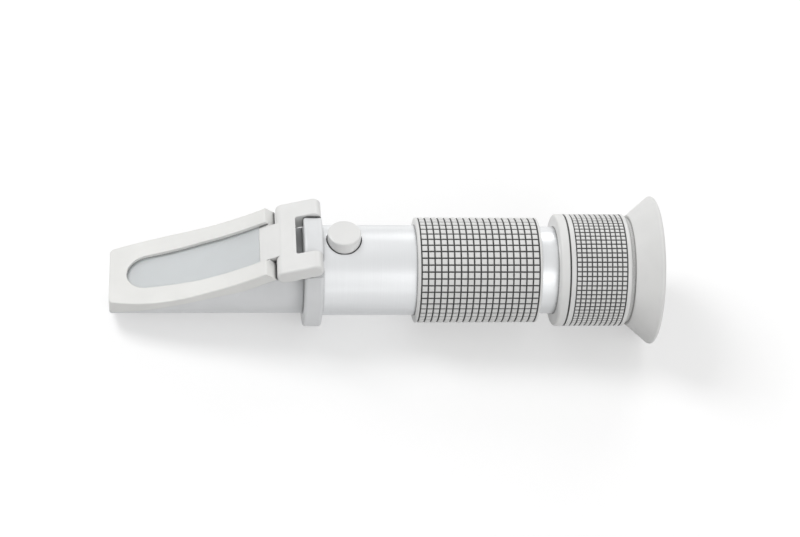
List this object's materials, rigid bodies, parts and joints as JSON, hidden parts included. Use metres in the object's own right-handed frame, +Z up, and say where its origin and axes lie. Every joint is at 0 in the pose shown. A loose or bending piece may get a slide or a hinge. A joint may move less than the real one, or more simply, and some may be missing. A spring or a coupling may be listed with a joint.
{
  "type": "hand-held refractometer",
  "caption": "Hand-held refractometer: hinged daylight cover with a window over a prism, collar, tube with zero knob, ribbed grip, knurled focus ring and flared eyecup.",
  "frame": {"origin": "on the optical axis, half way along the instrument", "axes": "+X along the optical axis towards the eyecup, +Z up towards the cover and the zero knob, Y across"},
  "size_m": [0.157, 0.043, 0.043],
  "materials": {
    "satin_metal": "satin",
    "tube_metal": "satin",
    "black_metal": "matt",
    "cover_plastic": "fine satin",
    "bracket_plastic": "fine satin",
    "frosted_pane": "frosted",
    "prism_glass": "polished",
    "lens_glass": "polished",
    "knob_plastic": "satin",
    "grip_rubber": "matt",
    "ring_plastic": "satin",
    "cup_rubber": "matt",
    "seal_rubber": "matt",
    "steel_pin": "ground",
    "brass_bush": "turned"
  },
  "bodies": {
    "root": {"prism_housing": "satin_metal", "measuring_prism": "prism_glass", "prism_gasket": "seal_rubber", "hinge_pin": "steel_pin", "front_collar": "satin_metal", "body_tube": "tube_metal", "tube_seal": "seal_rubber", "objective_guide": "black_metal", "knob_bush": "brass_bush", "grip_sleeve": "grip_rubber", "eyepiece_barrel": "tube_metal", "barrel_seal": "seal_rubber", "reticle": "lens_glass", "reticle_ring": "black_metal", "focus_guide_pin": "steel_pin"},
    "daylight_cover": {"cover_frame": "cover_plastic", "cover_window": "frosted_pane", "hinge_bracket": "bracket_plastic"},
    "zero_knob": {"calibration_knob": "knob_plastic", "calibration_screw": "steel_pin"},
    "objective": {"objective_cell": "black_metal", "objective_lens": "lens_glass", "objective_ring": "black_metal"},
    "lens_carrier": {"lens_cell": "black_metal", "field_lens": "lens_glass", "lens_spacer": "black_metal", "eye_lens": "lens_glass", "lens_ring": "black_metal"},
    "eyepiece": {"focus_ring": "ring_plastic", "cell_retainer": "black_metal", "eyecup": "cup_rubber"}
  },
  "joints": [
    {"name": "cover_hinge", "type": "hinge", "parent": "root", "child": "daylight_cover", "pos_m": [-0.02075, 0, 0.0135], "axis": [0, 1, 0], "range_deg": [0, 130]},
    {"name": "knob_turn", "type": "hinge", "parent": "root", "child": "zero_knob", "pos_m": [-0.012, 0, 0.0125], "axis": [0, 0, 1], "range_deg": [-400, 400]},
    {"name": "objective_slide", "type": "slide", "parent": "root", "child": "objective", "axis": [0, 0, 1], "range_m": [-0.0005, 0.0005]},
    {"name": "focus_slide", "type": "slide", "parent": "root", "child": "lens_carrier", "axis": [1, 0, 0], "range_m": [-0.00199, 0.00199]},
    {"name": "focus_turn", "type": "hinge", "parent": "lens_carrier", "child": "eyepiece", "pos_m": [0.06, 0, 0], "axis": [1, 0, 0], "range_deg": [-125, 125]}
  ],
  "couplings": [
    {"joint": "knob_turn", "follows": "objective_slide", "rad_per_m": -12566},
    {"joint": "focus_turn", "follows": "focus_slide", "rad_per_m": 1047.2}
  ]
}
